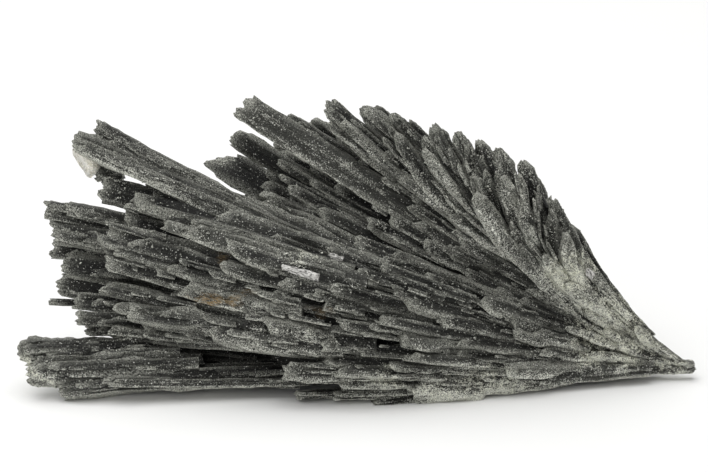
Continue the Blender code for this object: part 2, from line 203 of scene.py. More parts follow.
def lath_family(name, size, cells, ridge, tear, first_number, count):
    """The shapes of a few laths of one size, each worked by a noise of its own, and their common faces."""
    laths = [worked_lath(f"{name}_{i}", *size, *cells, ridge, tear, first_number + i) for i in range(count)]
    return lath_shapes(laths, *size)


def bend_and_tip(reach, rise, curl):
    """The two points that draw a growth line in the fan's plane: where it bends, and its tip."""
    first, last = np.radians(rise - curl), np.radians(rise)
    leg = reach / (2 * np.cos(np.radians(curl)))
    bend = np.stack([-leg * np.cos(first), leg * np.sin(first)], -1)
    tip = np.stack([-reach * np.cos(last), reach * np.sin(last)], -1)
    return bend, tip


def growth(line, share):
    """Points and directions on lines that leave the root, in the fan's mm."""
    bend, tip = bend_and_tip(line["reach"][:, None], line["rise"][:, None], line["curl"][:, None])
    start, depth_in = line["start"][:, None], line["depth_in"][:, None]
    slope = (line["depth"][:, None] - depth_in) / (1 - start)
    out = depth_in + slope * (share - start)
    s = share[..., None]
    point = np.concatenate([bend * 2 * s * (1 - s) + tip * s**2, out[..., None]], -1)
    along = np.concatenate([bend * (2 - 4 * s) + 2 * tip * s, (slope + 0 * share)[..., None]], -1)
    return point, along / np.linalg.norm(along, axis=-1, keepdims=True)


def inner_end(reach, rise, curl, start):
    """The reach and the rise at which a growth line starts to show."""
    bend, tip = bend_and_tip(reach, rise, curl)
    s = start[..., None]
    u, v = np.moveaxis(bend * 2 * s * (1 - s) + tip * s**2, -1, 0)
    return np.hypot(u, v), np.degrees(np.arctan2(v, -u))


def to_world(fan_points):
    """Fan millimetres (to the right, up the fan, out of it) to metres in the row's frame."""
    axes = np.stack([ALONG_THE_TABLE, UP_THE_FAN, OUT_OF_THE_FAN])
    world = ROOT + MM * fan_points @ axes
    world[..., 2] = np.maximum(world[..., 2], fan_low.z + BED_CLEARANCE)
    return world


def joined_mesh(name, corners, faces, uv, marks):
    """Copies of one build joined in one mesh, with a map in mm and the marks that the finish reads.

    How far each corner faces up is added to its fourth mark, from which the finish paints light and dust on
    the parts that face up.
    """
    copies, size = corners.shape[:2]
    sides = faces.shape[1]
    all_faces = (faces[None] + size * np.arange(copies)[:, None, None]).reshape(-1, sides)
    mesh = bpy.data.meshes.new(name)
    mesh.vertices.add(copies * size)
    mesh.vertices.foreach_set("co", corners.reshape(-1).astype(np.float32))
    mesh.loops.add(all_faces.size)
    mesh.loops.foreach_set("vertex_index", all_faces.reshape(-1).astype(np.int32))
    mesh.polygons.add(len(all_faces))
    mesh.polygons.foreach_set("loop_start", np.arange(0, all_faces.size, sides, dtype=np.int32))
    mesh.update(calc_edges=True)
    mesh.shade_flat()
    normals = np.zeros(copies * size * 3, np.float32)
    mesh.vertex_normals.foreach_get("vector", normals)
    marks[..., 3] += normals.reshape(copies, size, 3)[..., 2]
    layer = mesh.uv_layers.new(name="lay")
    layer.data.foreach_set("uv", uv.reshape(-1, 2)[all_faces.reshape(-1)].reshape(-1).astype(np.float32))
    colours = mesh.attributes.new("marks", "FLOAT_COLOR", "POINT")
    colours.data.foreach_set("color", marks.reshape(-1).astype(np.float32))
    piece = bpy.data.objects.new(name, mesh)
    bpy.context.scene.collection.objects.link(piece)
    return piece


def blade_frame(line, share):
    """(point, across, outward, taper) of each blade at shares of its length, turned by its roll."""
    point, along = growth(line, share)
    across = np.stack([along[..., 1], -along[..., 0], 0 * share], -1)
    across /= np.linalg.norm(across, axis=-1, keepdims=True)
    outward = np.cross(across, along)
    roll = np.radians(line["roll"])[:, None, None]
    turned_across = across * np.cos(roll) - outward * np.sin(roll)
    turned_outward = outward * np.cos(roll) + across * np.sin(roll)
    whole = np.clip(share, 0, None)
    taper = np.where(whole < 0.75, 0.35 + 0.65 * whole, 0.84 + 0.16 * np.cos(5.2 * (whole - 0.75)))
    return point, turned_across, turned_outward, taper


def standing_out(points):
    """How far points of the fan stand out of its faces, in mm: below zero in the gaps between the blades."""
    right, up, out = np.moveaxis(points, -1, 0)
    reach, rise = np.hypot(right, up), np.degrees(np.arctan2(up, -right))
    return np.maximum(out - front_depth(rise, reach), back_depth(rise, reach) - out)


# Tears longer than this share of a blade's width are drawn in, so that no blade ends in a needle.
LONG_TEAR, TEAR_KEPT = 0.12, 0.3
FURTHEST_IN, FURTHEST_OUT = -5.0, 1.0


def spray(name, family, line, rng):
    """Bends one copy of a worked lath along each line of growth, and joins them."""
    shapes, faces = family
    count = len(line["reach"])
    local = shapes[rng.integers(0, len(shapes), count)]
    flip = rng.choice([-1.0, 1.0], count)[:, None]
    x, y, z, torn_off = local[..., 0], local[..., 1] * flip, local[..., 2] * flip, local[..., 3]
    torn_off = np.minimum(torn_off, LONG_TEAR + TEAR_KEPT * (torn_off - LONG_TEAR))
    reach, width, thick = (line[k][:, None] for k in ("reach", "width", "thickness"))
    start = line["start"][:, None]
    behind_tip = -x * (1 - start) * reach
    near_tip = np.exp(-behind_tip / (0.5 * width))
    end_shape = line["slant"][:, None] * y - line["round"][:, None] * np.abs(2 * y) ** 2.5
    share = 1 + x * (1 - start) + (end_shape * near_tip + torn_off) * width / reach
    point, across, outward, taper = blade_frame(line, share)
    crimp = 1 - line["crimp"][:, None] * near_tip
    rounded = 1 - 0.28 * np.clip(np.abs(2 * y), 0, 1.2) ** 4
    corners = (
        point
        + across * (y * width * taper)[..., None]
        + outward * (z * thick * taper * crimp * rounded)[..., None]
    )
    shift = rng.uniform(0, 400, (count, 2))
    uv = np.stack([behind_tip + shift[:, :1], y * width + z * thick + shift[:, 1:]], -1)
    tone = line.get("tone", rng.uniform(0, 1, count))[:, None] + 0 * share
    torn = np.exp(-behind_tip / 0.8)
    edge = np.clip(np.abs(2 * y), 0, 1.1) ** 5
    # How far each corner stands out of the faces: the finish paints shade where it lies below them, and light
    # and dust where it stands out.
    shade_light_and_dust_mark = 0.22 * np.clip(standing_out(corners), FURTHEST_IN, FURTHEST_OUT)
    marks = np.stack([tone, torn, edge, shade_light_and_dust_mark], -1)
    return joined_mesh(name, to_world(corners), faces, uv, marks)


# The rim: how far the fan reaches at each rise, in degrees and mm.
RIM = (
    (-8, 40), (-4, 60), (-1, 88), (2, 94), (14, 99), (17, 94), (20, 82), (24, 77),
    (30, 77), (36, 68), (41, 58), (46, 49), (50, 38), (52, 33),
)
RIM_RISES, RIM_REACHES = np.array(RIM, float).T
FULL_LEAN_FRONT = 16.2
FULL_LEAN_BACK = 15.0
VALLEY_RISE = 27.0
VALLEY_HALF_WIDTH = 10.0
VALLEY_DEPTH = 0.62
CREST_LEAN, FACE_LEAN = 17.0, 3.0
LEAN_RUN = 0.46


def rim_reach(rise):
    """How far from the root the fan ends at that rise."""
    return np.interp(rise, RIM_RISES, RIM_REACHES)


def front_depth(rise, reach):
    """How far the front face stands out of the middle plane: thick crest, thin ends, and a valley between."""
    share = reach / rim_reach(rise)
    valley = 1 - VALLEY_DEPTH * np.exp(-(((rise - VALLEY_RISE) / VALLEY_HALF_WIDTH) ** 4))
    edge = (FACE_LEAN + 6 * np.clip((rise - 30) / 14, 0, 1)) * (0.3 + 0.7 * valley)
    lean = edge + (CREST_LEAN - FACE_LEAN) * valley * np.clip((1 - share) / LEAN_RUN, -0.2, None)
    return reach * np.tan(np.radians(np.clip(lean, 1, FULL_LEAN_FRONT)))


def back_depth(rise, reach):
    """How far the back face stands behind the middle plane, below zero: like the front, with no valley."""
    share = reach / rim_reach(rise)
    edge = FACE_LEAN + 6 * np.clip((rise - 30) / 14, 0, 1)
    lean = edge + (CREST_LEAN - edge) * np.clip((1 - share) / LEAN_RUN, 0, None)
    return -reach * np.tan(np.radians(np.minimum(lean, FULL_LEAN_BACK)))


def crestward(rise):
    """0 on the lower fan, rising to 1 on its thick crest."""
    return np.clip((rise - 32) / 6, 0, 1)


LONG_SIZE = (60.0, 3.2, 2.4)
LONG_CELLS = (54, 10)
long_laths = lath_family("long_lath", LONG_SIZE, LONG_CELLS, ridge=0.5, tear=1.7, first_number=1, count=4)

# The long blades that lie open on the front, and how much dust is on some of them, from 0 to 1.
ON_THE_FACE = (
    "twin_lower", "great_blade", "hooked_tip", "pale_upright", "pale_broad", "crest_third",
    "tongue_on_twin", "tongue_on_broad", "tongue_pale", "crest_first", "crest_fifth", "crest_sixth",
    "crest_seventh", "crest_ninth", "chunk", "twin_upper", "broad_dark",
)
rng = np.random.default_rng(5)
columns = np.array(list(LONG_BLADES.values()), float).T
keys = ("reach", "rise", "curl", "depth", "width", "thickness", "roll", "slant", "start")
long_line = dict(zip(keys, columns))
long_count = len(LONG_BLADES)
long_line["round"] = rng.uniform(0.02, 0.18, long_count) + 0.35 * crestward(long_line["rise"])
long_line["crimp"] = rng.uniform(0.1, 0.6, long_count)
long_line["depth_in"] = long_line["depth"] * long_line["start"]
DUSTINESS = {
    "great_blade": 0.85, "second_blade": 0.35, "wedge": 0.15, "dark_tip": 0.0, "hooked_tip": 0.4,
    "twin_upper": 0.6, "twin_lower": 0.7, "pale_upright": 1.0, "pale_broad": 1.0, "tongue_pale": 1.0,
    "broad_dark": 0.1, "root_nub": 0.9, "right_edge": 0.9, "chunk": 0.9,
    "foot_block_top": 0.0, "foot_block_middle": 0.1, "foot_block_low": 0.3,
}
plain_tone = rng.uniform(0.2, 0.9, long_count)
long_line["tone"] = np.array([DUSTINESS.get(name, tone) for name, tone in zip(LONG_BLADES, plain_tone)])
on_face = np.array([name in ON_THE_FACE for name in LONG_BLADES])
face_depth = front_depth(long_line["rise"], long_line["reach"])
inner_reach, inner_rise = inner_end(
    long_line["reach"], long_line["rise"], long_line["curl"], long_line["start"]
)
inner_depth = front_depth(inner_rise, np.abs(inner_reach))
long_line["depth"] = np.where(on_face, np.maximum(face_depth + 0.3, long_line["depth"]), long_line["depth"])
long_line["depth_in"] = np.where(on_face, inner_depth - 0.4, long_line["depth_in"])
long_blades = spray("long_blades", long_laths, long_line, rng)


def lines_beside(line, copies, rng, width_share, shorter):
    """Lines for thinner laths that lie on and beside each of the given blades, and stop short of its tip."""
    many = {key: np.repeat(value, copies) for key, value in line.items()}
    count = len(many["reach"])
    narrowing = rng.uniform(*width_share, count)
    shift = rng.uniform(-0.46, 0.46, count) * (1 - narrowing) * many["width"]
    side = rng.choice([-1.0, 1.0, 1.0], count)
    many["rise"] = many["rise"] + np.degrees(shift / many["reach"])
    rise_out = many["thickness"] * rng.uniform(0.25, 0.5, count) * side
    many["depth"] = many["depth"] + rise_out
    many["depth_in"] = many["depth_in"] + rise_out * 0.7
    many["width"] = many["width"] * narrowing
    many["thickness"] = np.clip(many["width"] * rng.uniform(0.5, 0.9, count), 0.5, 1.5)
    tip = many["reach"] - rng.uniform(*shorter, count) ** 1.5
    length = np.minimum(rng.uniform(10, 40, count), (tip - many["reach"] * many["start"]) * 0.98)
    at_tip = tip / many["reach"]
    many["depth"] = many["depth_in"] + (many["depth"] - many["depth_in"]) * (
        (at_tip - many["start"]) / (1 - many["start"])
    )
    many["depth_in"] = many["depth"] - (many["depth"] - many["depth_in"]) * length / tip * 1.6
    many["start"] = np.maximum(1 - length / tip, 0.1)
    many["curl"] = many["curl"] * at_tip
    many["rise"] = many["rise"] - many["curl"] * (1 - at_tip)
    many["reach"] = tip
    many["roll"] = many["roll"] + rng.normal(0, 12, count)
    many["slant"] = rng.uniform(-0.5, 0.6, count)
    many["round"] = rng.uniform(0.1, 0.6, count)
    many["crimp"] = rng.uniform(0.1, 0.7, count)
    return many


STRAND_SIZE = (25.0, 1.5, 0.9)
STRAND_CELLS = (10, 2)
strand_laths = lath_family(
    "strand_lath", STRAND_SIZE, STRAND_CELLS, ridge=0.3, tear=0.8, first_number=21, count=6
)
SMOOTH_BLADES = ("great_blade", "second_blade", "wedge", "dark_tip", "root_nub", "twin_bridge")
ridged = np.array([name not in SMOOTH_BLADES for name in LONG_BLADES])
ridged_line = {key: value[ridged] for key, value in long_line.items()}
strand_line = lines_beside(ridged_line, 8, rng, width_share=(0.22, 0.6), shorter=(0.0, 4.6))
long_strands = spray("long_strands", strand_laths, strand_line, rng)


# The finish of every blade: black to dark grey stone with fine ridges along it, a light grain, dust, painted
# highlights on the tips, edges and up-facing parts, painted shade in the gaps, and the stains of the places
# where rust and pale mica have settled.
def add_node(tree, kind, inputs=None, **settings):
    """A node with its settings, its inputs given as values or as sockets to link."""
    node = tree.nodes.new(kind)
    for key, value in settings.items():
        setattr(node, key, value)
    for key, value in (inputs or {}).items():
        if isinstance(value, bpy.types.NodeSocket):
            tree.links.new(value, node.inputs[key])
        else:
            node.inputs[key].default_value = value
    return node


def maths(tree, operation, *values):
    return add_node(tree, "ShaderNodeMath", dict(enumerate(values)), operation=operation).outputs[0]


def ramp(tree, value, low, high, to_low=0.0, to_high=1.0):
    """The value taken from low..high to to_low..to_high, and held there."""
    inputs = {"Value": value, "From Min": low, "From Max": high, "To Min": to_low, "To Max": to_high}
    return add_node(tree, "ShaderNodeMapRange", inputs).outputs["Result"]


def mixed(tree, share, first, second):
    node = add_node(tree, "ShaderNodeMix", {"Factor": share, 6: first, 7: second}, data_type="RGBA")
    return node.outputs[2]


def noise_of(tree, vector, scale, detail=2.0, roughness=0.5):
    inputs = {"Vector": vector, "Scale": scale, "Detail": detail, "Roughness": roughness}
    return add_node(tree, "ShaderNodeTexNoise", inputs).outputs["Fac"]


# Where pale mica and dust have settled on the front, and where it has rusted.
# mm to the right of the root, mm up the fan, half width, half height, strength
PALE_PATCHES = (
    (-20.2, 15.2, 6.0, 5.0, 1.6),
    (-12.5, 8.5, 12.5, 9.0, 1.1),
    (-2.5, 0.3, 5.0, 3.0, 1.0),
    (-31.0, 30.0, 15.0, 11.0, 0.55),
    (-42.6, -2.8, 7.0, 3.0, 0.9),
    (-50.0, -1.2, 5.0, 3.0, 0.9),
    (-35.0, -2.6, 17.0, 4.0, 0.9),
    (-60.7, 5.1, 4.5, 3.2, 0.7),
    (-69.0, 7.5, 14.0, 6.0, 0.5),
    (-90.0, 31.0, 15.0, 9.0, 0.3),
    (-12.0, 4.0, 14.0, 6.0, 1.2),
    (-106.0, -0.3, 4.5, 3.2, 2.0),
    (-91.5, 4.9, 3.0, 1.2, 0.7),
    (-62.3, 18.5, 4.6, 2.0, 0.8),
    # This patch paints a sheen on a blade: painted light, not settled dust.
    (-55.8, 33.8, 5.5, 3.2, 0.35),
    (-104.0, 28.0, 4.0, 3.0, 0.4),
)
RUST_PATCHES = (
    (-76.0, 11.4, 5.5, 1.0, 1.3),
    (-76.0, 18.0, 1.2, 0.8, 0.7),
    (-74.0, 11.0, 1.5, 1.2, 0.7),
    (-60.0, 9.6, 2.5, 0.9, 0.4),
)
PATCH_HALF_DEPTH = 14.0
PATCH_SOFTNESS = 0.6
STIR = 7.0 * MM


def patches(tree, place, table):
    """1 at the middle of each of the table's patches, and 0 outside them all."""
    strongest = None
    for right, up, half_width, half_height, strength in table:
        reach, rise = np.hypot(right, up), np.degrees(np.arctan2(up, -right))
        depth = float(front_depth(rise, reach))
        centre = ROOT + MM * (right * ALONG_THE_TABLE + up * UP_THE_FAN + depth * OUT_OF_THE_FAN)
        inputs = {
            "Vector": place,
            "Location": tuple(centre),
            "Rotation": (-LEAN, 0, 0),
            "Scale": (half_width * MM, PATCH_HALF_DEPTH * MM, half_height * MM),
        }
        near = add_node(tree, "ShaderNodeMapping", inputs, vector_type="TEXTURE").outputs["Vector"]
        ball = add_node(tree, "ShaderNodeTexGradient", {"Vector": near}, gradient_type="SPHERICAL")
        here = ramp(tree, ball.outputs["Fac"], 0.0, PATCH_SOFTNESS, 0.0, strength)
        strongest = maths(tree, "MAXIMUM", strongest, here) if strongest else here
    return strongest


# Painted shade for the gaps between the blades.
GAP_SHADE_BLACK = (0.002, 0.002, 0.002, 1)
STONE_BLACK = (0.003, 0.003, 0.0025, 1)
WORN_BLACK = (0.045, 0.046, 0.039, 1)
DULL_GREY = (0.12, 0.122, 0.106, 1)
# Painted light for the parts that stand out and face up.
PAINTED_LIGHT_GREY = (0.21, 0.212, 0.19, 1)
# Dust, and painted highlight where the parts face up.
DUST_AND_HIGHLIGHT_GREY = (0.40, 0.404, 0.355, 1)
DUST_AND_HIGHLIGHT_WHITE = (0.95, 0.958, 0.86, 1)
# Painted highlight for the torn tips and the edges of the blades.
TIP_HIGHLIGHT_GREY = (0.52, 0.525, 0.46, 1)
FLECK_WHITE = (0.82, 0.82, 0.76, 1)
CRUST_CREAM = (0.74, 0.742, 0.59, 1)
RUST_BROWN = (0.23, 0.16, 0.075, 1)
GRAINS_PER_M, FLECKS_PER_M, LUMPS_PER_M, CLOUDS_PER_M = 5000.0, 3400.0, 900.0, 240.0


def along_blade(tree, lay, scale, detail, roughness):
    """A noise drawn out along the blade: scale is how often it changes in a mm, along and across."""
    stretched = add_node(tree, "ShaderNodeMapping", {"Vector": lay, "Scale": (*scale, 1)})
    return noise_of(tree, stretched.outputs["Vector"], 1.0, detail, roughness)


def stirred_place(tree, place):
    """The place, pushed about by a noise, so that the patches have ragged edges."""
    stir = add_node(tree, "ShaderNodeTexNoise", {"Vector": place, "Scale": 250.0, "Detail": 3.0})
    shift = {0: stir.outputs["Color"], 1: (STIR, STIR, STIR), 2: (-STIR / 2, -STIR / 2, -STIR / 2)}
    push = add_node(tree, "ShaderNodeVectorMath", shift, operation="MULTIPLY_ADD").outputs[0]
    return add_node(tree, "ShaderNodeVectorMath", {0: place, 1: push}, operation="ADD").outputs[0]


def fleck_spots(tree, place, grain):
    """1 on small scattered flecks of mica, broken up by the grain, and 0 between them."""
    fleck = add_node(
        tree, "ShaderNodeTexVoronoi", {"Vector": place, "Scale": FLECKS_PER_M, "Randomness": 1.0}
    )
    chance = add_node(tree, "ShaderNodeSeparateColor", {"Color": fleck.outputs["Color"]})
    spot = ramp(tree, fleck.outputs["Distance"], 0.42, 0.26)
    spot = maths(tree, "MULTIPLY", spot, ramp(tree, chance.outputs["Red"], 0.64, 0.78))
    spot = maths(tree, "MULTIPLY", spot, ramp(tree, chance.outputs["Green"], 0.2, 1.0, 0.15, 1.0))
    return maths(tree, "MULTIPLY", spot, ramp(tree, grain, 0.46, 0.52))


def kyanite_finish(name):
    material = bpy.data.materials.new(name)
    material.use_nodes = True
    tree = material.node_tree
    shader = tree.nodes["Principled BSDF"]
    place = add_node(tree, "ShaderNodeTexCoord").outputs["Object"]
    lay = add_node(tree, "ShaderNodeUVMap", uv_map="lay").outputs["UV"]
    marks = add_node(tree, "ShaderNodeAttribute", attribute_name="marks")
    parts = add_node(tree, "ShaderNodeSeparateColor", {"Color": marks.outputs["Color"]})
    tone, torn, edge = parts.outputs["Red"], parts.outputs["Green"], parts.outputs["Blue"]
    # The fourth mark: how far a place stands out and faces up, from which painted shade, painted light and
    # dust are drawn.
    shade_light_and_dust_mark = marks.outputs["Alpha"]

    strands = along_blade(tree, lay, (0.22, 2.6), 4.0, 0.6)
    fine = along_blade(tree, lay, (0.9, 4.5), 3.0, 0.6)
    streaks = along_blade(tree, lay, (0.5, 2.2), 4.0, 0.7)
    grain = noise_of(tree, place, GRAINS_PER_M, 2.0, 0.8)
    clouds = noise_of(tree, place, CLOUDS_PER_M, 3.0, 0.55)

    # Bare stone: black in its pores, with painted shade that makes it blackest in the gaps, and painted light
    # that makes it greyer where it stands out and faces up.
    worn_grain = maths(tree, "MULTIPLY", maths(tree, "ADD", strands, grain), 0.5)
    stone = mixed(tree, ramp(tree, worn_grain, 0.44, 0.62), STONE_BLACK, WORN_BLACK)
    stone = mixed(tree, ramp(tree, tone, 0.6, 1.0, 0.0, 0.35), stone, DULL_GREY)
    stone = mixed(tree, ramp(tree, shade_light_and_dust_mark, -0.9, 0.0, 0.75, 0.0), stone, GAP_SHADE_BLACK)
    painted_light = maths(tree, "MULTIPLY", ramp(tree, shade_light_and_dust_mark, -0.2, 1.0, 0.0, 0.95), ramp(tree, grain, 0.38, 0.60))
    stone = mixed(tree, painted_light, stone, PAINTED_LIGHT_GREY)

    # Dust and painted highlight: pale specks in the grain and along the ridges, more of them the further a
    # place stands out and the more it faces up, which paints the light from above on the parts that catch it.
    dust_and_highlight_cover = ramp(tree, clouds, 0.36, 0.64, 0.0, 1.0)
    dust_and_highlight_cover = maths(tree, "ADD", maths(tree, "MULTIPLY", dust_and_highlight_cover, 0.35), maths(tree, "MULTIPLY", tone, 0.35))
    dust_and_highlight_cover = maths(tree, "ADD", dust_and_highlight_cover, ramp(tree, shade_light_and_dust_mark, -0.55, 1.0, -0.5, 1.1))
    stirred = stirred_place(tree, place)
    lumps = ramp(tree, noise_of(tree, place, LUMPS_PER_M, 3.0, 0.65), 0.40, 0.56, 0.45, 1.0)
    settled = maths(tree, "MULTIPLY", patches(tree, stirred, PALE_PATCHES), lumps)
    dust_and_highlight_cover = maths(tree, "ADD", dust_and_highlight_cover, settled)
    threshold = ramp(tree, dust_and_highlight_cover, 0.0, 2.1, 0.61, 0.31)
    speckle = maths(tree, "ADD", maths(tree, "MULTIPLY", grain, 0.62), maths(tree, "MULTIPLY", streaks, 0.38))
    dust_and_highlight_share = ramp(tree, maths(tree, "SUBTRACT", speckle, threshold), 0.0, 0.16)
    dust_and_highlight_colour = mixed(tree, ramp(tree, grain, 0.42, 0.60), DUST_AND_HIGHLIGHT_GREY, DUST_AND_HIGHLIGHT_WHITE)
    coat = mixed(tree, maths(tree, "MULTIPLY", dust_and_highlight_share, 0.95), stone, dust_and_highlight_colour)

    # Torn tips and edges get a painted highlight, and flecks of mica lie over all.
    tip_and_edge_highlight = maths(tree, "MAXIMUM", maths(tree, "MULTIPLY", torn, 0.8), maths(tree, "MULTIPLY", edge, 0.45))
    tip_and_edge_highlight = maths(tree, "MULTIPLY", tip_and_edge_highlight, ramp(tree, grain, 0.40, 0.58))
    coat = mixed(tree, tip_and_edge_highlight, coat, TIP_HIGHLIGHT_GREY)
    coat = mixed(tree, fleck_spots(tree, place, grain), coat, FLECK_WHITE)

    # The crust of the pale patches, and the rust.
    crust = maths(tree, "MULTIPLY", ramp(tree, settled, 0.5, 1.4), ramp(tree, grain, 0.44, 0.56))
    coat = mixed(tree, maths(tree, "MULTIPLY", crust, 0.75), coat, CRUST_CREAM)
    rust = maths(tree, "MULTIPLY", patches(tree, stirred, RUST_PATCHES), ramp(tree, fine, 0.45, 0.55))
    coat = mixed(tree, maths(tree, "MULTIPLY", rust, 0.75), coat, RUST_BROWN)

    tree.links.new(coat, shader.inputs["Base Color"])
    tree.links.new(ramp(tree, fine, 0.3, 0.7, 0.62, 0.42), shader.inputs["Roughness"])
    shader.inputs["Specular IOR Level"].default_value = 0.2
    relief = maths(tree, "ADD", maths(tree, "MULTIPLY", strands, 0.55), maths(tree, "MULTIPLY", fine, 0.35))
    relief = maths(tree, "ADD", relief, maths(tree, "MULTIPLY", grain, 0.45))
    bump = add_node(
        tree, "ShaderNodeBump", {"Height": relief, "Distance": 0.35 * MM, "Strength": 1.0}
    )
    tree.links.new(bump.outputs["Normal"], shader.inputs["Normal"])
    return material


kyanite = kyanite_finish("black_kyanite")


def dress(piece, material=kyanite, node="kyanite_fan"):
    """Gives the piece its finish, hangs it on the root's body, and hides the solid it stands for."""
    piece.data.materials.append(material)
    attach(piece, "root")
    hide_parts(node)


dress(long_blades)
dress(long_strands)

# ------------------------------------------------------------------------------
# The packed blades. Between and over the long blades the spray is built of hundreds of shorter ones, which
# lie along its faces like thatch and stop one behind the other, each torn across where it broke.
# ------------------------------------------------------------------------------
def bed_rise(reach, depth):
    """The rise at which a blade of that reach and depth lies on the table."""
    level = -ABOVE_TABLE / MM / cos(LEAN) - depth * tan(LEAN)
    return np.degrees(np.arcsin(np.clip(level / reach, -1, 1)))


# The upper right edge, which bends upwards away from the root: the highest rise, in degrees, at each reach.
UPPER_EDGE = ((7, 45), (11, 45), (14, 42.5), (16.5, 42), (20, 44.5), (23.5, 48), (28, 50), (31, 51.5))
EDGE_REACHES, EDGE_RISES = np.array(UPPER_EDGE, float).T


def highest_rise(reach):
    return np.interp(reach, EDGE_REACHES, EDGE_RISES)


def crest_curl(rise):
    """How much more the blades bend upwards the nearer they are to the crest, in degrees."""
    return 34 * np.clip((rise - 34) / 12, 0, 1)


FIRST_ROW = 0.14
FIRST_RISE, LAST_RISE, LOWEST_RISE = -9.0, 50.5, -6.4
RECESS_TOP, RECESS_REACH = 3.4, 71
VALLEY_FROM, VALLEY_TO, VALLEY_REACH = 21.5, 33.5, 60


def thatched(rng, face_depth, widths, row_gap, spacing, lengths, lift, bury):
    """One line of growth for each blade of a face, from the root to the rim, none in step with its neighbour.

    The recess over the foot and the open end of the valley are left without blades.
    """
    lines = []
    share = FIRST_ROW
    while share < 1.0:
        rise = FIRST_RISE
        while rise < LAST_RISE:
            width = rng.uniform(*widths) * (0.75 + 0.3 * share * rim_reach(rise) / 55)
            crest = float(crestward(rise))
            outer = float(np.clip((rim_reach(rise) * share - 55) / 25, 0, 1)) * (1 - crest)
            width *= 1 + 0.1 * crest + 0.35 * outer
            q = np.clip(share + rng.uniform(-0.5, 0.5) * row_gap, 0.1, 1.0)
            at = rise + rng.uniform(-0.35, 0.35) * np.degrees(width / (rim_reach(rise) * share))
            reach = rim_reach(at) * q
            tip_depth = face_depth(at, reach)
            lowest = max(bed_rise(reach, tip_depth), LOWEST_RISE)
            rests = at > lowest + np.degrees(0.5 * width / reach)
            in_recess = at < RECESS_TOP and reach > RECESS_REACH and tip_depth > 0
            in_valley = VALLEY_FROM < at < VALLEY_TO and reach > VALLEY_REACH and tip_depth > 0
            under_edge = at < highest_rise(reach) - np.degrees(0.5 * width / reach)
            if rests and under_edge and not in_recess and not in_valley:
                lines.append((reach, at, width))
            gap = spacing * (1 + 0.45 * crest) * rng.uniform(0.8, 1.2)
            rise += np.degrees(width * gap / (rim_reach(rise) * share))
        share += row_gap
    reach, rise, width = np.array(lines).T
    count = len(lines)
    length = np.minimum(rng.uniform(*lengths, count) * (0.3 + 0.8 * reach / 90), reach * 0.8)
    start = 1 - length / reach
    crest = crestward(rise)
    curl = 2.5 + rng.uniform(-1.5, 2.5, count) * (1 + 2 * crest) + crest_curl(rise)
    inner_reach, inner_rise = inner_end(reach, rise, curl, start)
    tip_depth, inner_depth = face_depth(rise, reach), face_depth(inner_rise, inner_reach)
    side = np.sign(tip_depth)
    lifted = rng.uniform(*lift, count) * (0.5 + 0.5 * reach / 90 + 1.2 * crest)
    return {
        "reach": reach,
        "rise": rise,
        "curl": curl,
        "depth": tip_depth + side * lifted,
        "depth_in": inner_depth - side * bury,
        "width": width,
        "thickness": np.clip(width * rng.uniform(0.8, 1.2, count), 0.4, 2.8),
        "roll": rng.normal(0, 22, count),
        "slant": rng.uniform(-0.9, 0.9, count),
        "round": rng.uniform(0.0, 0.4, count) + 0.4 * crest,
        "crimp": rng.uniform(0.0, 0.5, count),
        "start": start,
    }


SHORT_SIZE = (22.0, 2.0, 1.4)
SHORT_CELLS = (10, 3)
short_laths = lath_family(
    "short_lath", SHORT_SIZE, SHORT_CELLS, ridge=0.42, tear=1.1, first_number=11, count=10
)

# name: laths, face, widths mm, row gap and spacing as shares, lengths mm, lift mm, depth of inner end mm
PACKED_BLADES = {
    "front_blades": (short_laths, front_depth, (1.2, 2.8), 0.095, 1.2, (16, 34), (-0.9, 1.1), 1.5),
    "back_blades": (short_laths, back_depth, (1.6, 3.4), 0.105, 0.95, (18, 34), (-0.5, 0.4), 1.3),
    "front_strips": (strand_laths, front_depth, (0.5, 1.1), 0.12, 5.0, (4, 12), (0.3, 1.4), 0.4),
    "back_strips": (strand_laths, back_depth, (0.6, 1.3), 0.11, 2.4, (7, 20), (0.0, 0.6), 0.5),
}
rng = np.random.default_rng(23)
packed_lines = {}
for name, (laths, *lay_out) in PACKED_BLADES.items():
    packed_lines[name] = thatched(rng, *lay_out)
    dress(spray(name, laths, packed_lines[name], rng))


RIM_BLADE_RISES = (2.5, 50.2)
RIM_BLADE_SHARES = (0.84, 1.0)


def rim_lines(rng, count):
    """Lines that end all through the thickness of the rim, straight out from the root."""
    rise = rng.uniform(*RIM_BLADE_RISES, count)
    share = rng.uniform(*RIM_BLADE_SHARES, count)
    reach = rim_reach(rise) * share
    rise = np.minimum(rise, highest_rise(reach) - np.degrees(1.0 / reach))
    front, back = front_depth(rise, reach), back_depth(rise, reach)
    depth = back + (front - back) * rng.uniform(0.05, 0.95, count)
    width = rng.uniform(1.2, 2.8, count)
    length = np.minimum(rng.uniform(18, 34, count), reach * 0.7)
    return {
        "reach": reach,
        "rise": rise,
        "curl": 2.5 + rng.uniform(-1.5, 2.5, count) + crest_curl(rise),
        "depth": depth,
        "depth_in": depth * (1 - length / reach),
        "width": width,
        "thickness": width * rng.uniform(0.6, 0.95, count),
        "roll": rng.normal(0, 30, count),
        "slant": rng.uniform(-0.5, 0.7, count),
        "round": rng.uniform(0.1, 0.6, count),
        "crimp": rng.uniform(0.0, 0.6, count),
        "start": 1 - length / reach,
    }


rim_line = rim_lines(rng, count=260)
dress(spray("rim_blades", short_laths, rim_line, rng))

